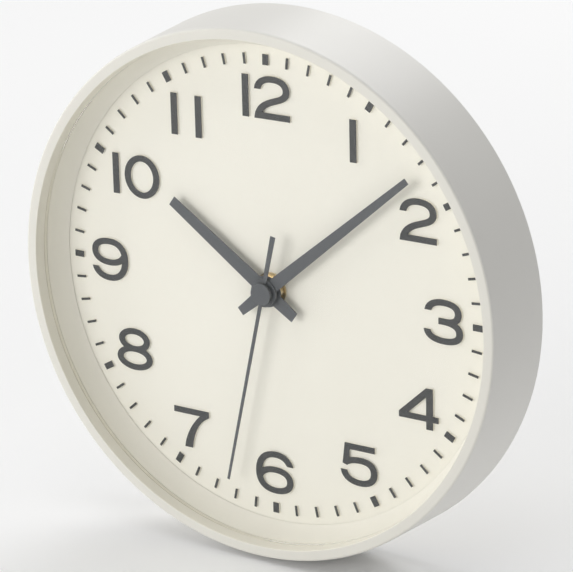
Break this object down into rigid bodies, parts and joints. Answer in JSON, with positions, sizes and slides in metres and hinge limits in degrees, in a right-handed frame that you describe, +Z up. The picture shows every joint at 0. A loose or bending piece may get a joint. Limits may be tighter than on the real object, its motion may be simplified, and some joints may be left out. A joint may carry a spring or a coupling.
{
  "type": "wall clock",
  "caption": "Round white battery wall clock with a flat glass, raised dark numerals and minute marks, tapered baton hands and its full geared movement.",
  "frame": {"origin": "seat of the wall hook: the top of the hanging hole, on the plane of the wall; the hands' axis is 86 mm below it", "axes": "+Y goes into the wall and the dial faces -Y, +X is to the right and +Z is up as the dial is read"},
  "size_m": [0.26, 0.041, 0.26],
  "materials": {
    "case_white": "fine satin moulded surface, warm white",
    "dial_cream": "matte cream moulding",
    "dial_ink": "matte dark grey print on the raised numerals and marks",
    "clear_glass": "clear flat glass",
    "hand_grey": "satin slate-grey paint on aluminium sheet",
    "brass": "turned brass",
    "screw_steel": "zinc plated",
    "spring_steel": "bright rolled sheet",
    "black_rubber": "matte",
    "movement_black": "fine spark-eroded texture",
    "bridge_clear": "natural translucent moulding",
    "gear_white": "natural acetal",
    "magnet_grey": "sintered magnet",
    "copper_wire": "enamelled copper wire",
    "board_green": "green lacquered board",
    "battery_sleeve": "printed film sleeve, plain"
  },
  "bodies": {
    "clock": {"case_ring": "case_white", "front_glass": "clear_glass", "spacer_ring": "dial_cream", "dial": "dial_cream", "back_cover": "case_white", "cover_screw_1": "screw_steel", "cover_screw_2": "screw_steel", "cover_screw_3": "screw_steel", "cover_screw_4": "screw_steel", "centre_bushing": "brass", "fixing_nut": "brass", "nut_washer": "brass", "rubber_gasket": "black_rubber", "movement_front_housing": "movement_black", "movement_back_housing": "movement_black", "train_bridge": "bridge_clear", "stator": "spring_steel", "coil_core": "spring_steel", "coil_bobbin": "movement_black", "coil_winding": "copper_wire", "circuit_board": "board_green", "quartz_crystal": "spring_steel", "control_chip": "movement_black", "battery": "battery_sleeve", "positive_contact": "spring_steel", "negative_contact": "spring_steel"},
    "seconds": {"second_hand": "hand_grey", "second_hand_cap": "hand_grey", "fourth_wheel": "gear_white"},
    "minutes": {"minute_hand": "hand_grey", "cannon_pinion": "gear_white"},
    "hours": {"hour_hand": "hand_grey", "hour_wheel": "gear_white"},
    "minute_wheel": {"minute_wheel": "gear_white"},
    "centre_wheel": {"centre_wheel": "gear_white"},
    "third_wheel": {"third_wheel": "gear_white"},
    "fifth_wheel": {"fifth_wheel": "gear_white"},
    "rotor": {"rotor": "gear_white", "rotor_magnet": "magnet_grey"},
    "setting_knob": {"setting_knob": "movement_black"}
  },
  "joints": [
    {"name": "second_hand_spin", "type": "hinge", "parent": "clock", "child": "seconds", "pos_m": [0, -0.012, -0.086], "axis": [0, 1, 0], "continuous": true},
    {"name": "minute_hand_spin", "type": "hinge", "parent": "clock", "child": "minutes", "pos_m": [0, -0.012, -0.086], "axis": [0, 1, 0], "continuous": true},
    {"name": "hour_hand_spin", "type": "hinge", "parent": "clock", "child": "hours", "pos_m": [0, -0.012, -0.086], "axis": [0, 1, 0], "continuous": true},
    {"name": "minute_wheel_spin", "type": "hinge", "parent": "clock", "child": "minute_wheel", "pos_m": [-0.011, -0.012, -0.086], "axis": [0, 1, 0], "continuous": true},
    {"name": "setting_knob_spin", "type": "hinge", "parent": "clock", "child": "setting_knob", "pos_m": [-0.01878, -0.012, -0.09378], "axis": [0, 1, 0], "continuous": true},
    {"name": "third_wheel_spin", "type": "hinge", "parent": "clock", "child": "third_wheel", "pos_m": [0.01223, -0.012, -0.086], "axis": [0, 1, 0], "continuous": true},
    {"name": "centre_wheel_spin", "type": "hinge", "parent": "clock", "child": "centre_wheel", "pos_m": [0, -0.012, -0.086], "axis": [0, 1, 0], "continuous": true},
    {"name": "fifth_wheel_spin", "type": "hinge", "parent": "clock", "child": "fifth_wheel", "pos_m": [-0.00578, -0.012, -0.07774], "axis": [0, 1, 0], "continuous": true},
    {"name": "rotor_spin", "type": "hinge", "parent": "clock", "child": "rotor", "pos_m": [-0.01367, -0.012, -0.08062], "axis": [0, 1, 0], "continuous": true}
  ],
  "couplings": [
    {"joint": "hour_hand_spin", "follows": "minute_hand_spin", "ratio": 0.083333},
    {"joint": "minute_wheel_spin", "follows": "minute_hand_spin", "ratio": -0.33333},
    {"joint": "setting_knob_spin", "follows": "minute_hand_spin", "ratio": 1},
    {"joint": "third_wheel_spin", "follows": "second_hand_spin", "ratio": -0.125},
    {"joint": "centre_wheel_spin", "follows": "second_hand_spin", "ratio": 0.016667},
    {"joint": "fifth_wheel_spin", "follows": "second_hand_spin", "ratio": -5},
    {"joint": "rotor_spin", "follows": "second_hand_spin", "ratio": 30}
  ]
}
